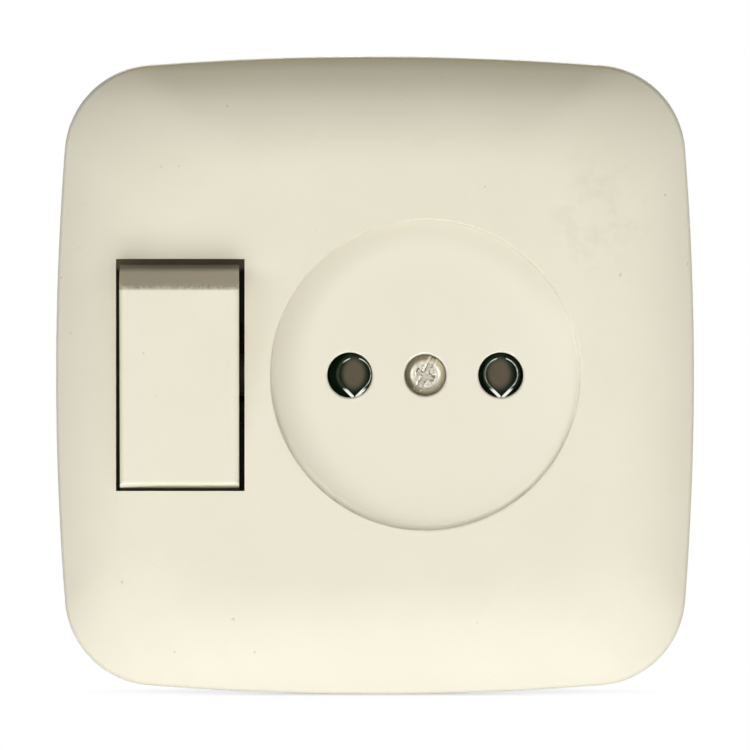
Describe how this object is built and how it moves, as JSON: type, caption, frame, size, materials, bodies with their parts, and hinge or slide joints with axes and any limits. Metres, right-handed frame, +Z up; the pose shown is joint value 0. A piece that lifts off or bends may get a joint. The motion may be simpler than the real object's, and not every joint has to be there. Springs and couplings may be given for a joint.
{
  "type": "switch and socket combination",
  "caption": "Flush wall plate combining a rocker light switch beside a round two-pin socket, with its central screw, metal ring and claw-fixed insert.",
  "frame": {"origin": "centre of the plate on the wall plane, midway between the two box screw slots", "axes": "+X to the socket side, +Y into the wall, +Z up; the front faces -Y"},
  "size_m": [0.0804, 0.0359, 0.0804],
  "materials": {
    "cover": "satin",
    "rocker": "satin",
    "cradle": "satin",
    "steel": "satin",
    "plunger": "satin",
    "spring": "satin",
    "contact": "satin",
    "tips": "polished",
    "strip": "satin",
    "terminal": "satin",
    "base": "satin",
    "ring": "satin",
    "plated_screw": "satin",
    "claw": "satin"
  },
  "bodies": {
    "fixed": {"cover_plate": "cover", "rocker_pin": "steel", "seesaw_pin": "steel", "common_strip": "strip", "upper_fixed_contact": "strip", "lower_fixed_contact": "strip", "fixed_tips": "tips", "socket_contact_left": "contact", "socket_contact_right": "contact", "terminal_upper": "terminal", "terminal_lower": "terminal", "terminal_live": "terminal", "terminal_neutral": "terminal", "terminal_screws": "steel", "insert_base": "base", "support_ring": "ring", "ring_screws": "steel", "cover_screw_bush": "terminal", "cover_screw": "plated_screw", "claw_screws": "steel"},
    "rocker": {"rocker_cap": "rocker", "rocker_cradle": "cradle", "plunger_spring": "spring"},
    "plunger_body": {"plunger": "plunger"},
    "seesaw": {"contact_seesaw": "contact", "seesaw_tips": "tips"},
    "upper_claw": {"claw_upper": "claw"},
    "lower_claw": {"claw_lower": "claw"},
    "upper_nut": {"claw_nut_upper": "steel"},
    "lower_nut": {"claw_nut_lower": "steel"}
  },
  "joints": [
    {"name": "rocker_tilt", "type": "hinge", "parent": "fixed", "child": "rocker", "pos_m": [-0.02, -0.004, 0], "axis": [1, 0, 0], "range_deg": [-18, 0]},
    {"name": "plunger_slide", "type": "slide", "parent": "rocker", "child": "plunger_body", "axis": [0, -0.9877, -0.1564], "range_m": [0, 0.0008], "stiffness_N_per_m": 1500, "springref_m": -0.002, "deforming": ["plunger_spring"]},
    {"name": "seesaw_tilt", "type": "hinge", "parent": "fixed", "child": "seesaw", "pos_m": [-0.02, 0.0118, 0], "axis": [1, 0, 0], "range_deg": [0, 20]},
    {"name": "upper_nut_travel", "type": "slide", "parent": "fixed", "child": "upper_nut", "axis": [0, -1, 0], "range_m": [0, 0.0085]},
    {"name": "upper_claw_swing", "type": "hinge", "parent": "fixed", "child": "upper_claw", "pos_m": [0, 0.0016, 0.0237], "axis": [1, 0, 0], "range_deg": [0, 12]},
    {"name": "lower_nut_travel", "type": "slide", "parent": "fixed", "child": "lower_nut", "axis": [0, -1, 0], "range_m": [0, 0.0085]},
    {"name": "lower_claw_swing", "type": "hinge", "parent": "fixed", "child": "lower_claw", "pos_m": [0, 0.0016, -0.0237], "axis": [-1, 0, 0], "range_deg": [0, 12]}
  ],
  "couplings": [
    {"joint": "seesaw_tilt", "follows": "rocker_tilt", "ratio": -1.111},
    {"joint": "upper_claw_swing", "follows": "upper_nut_travel", "rad_per_m": 24.63},
    {"joint": "lower_claw_swing", "follows": "lower_nut_travel", "rad_per_m": 24.63}
  ]
}
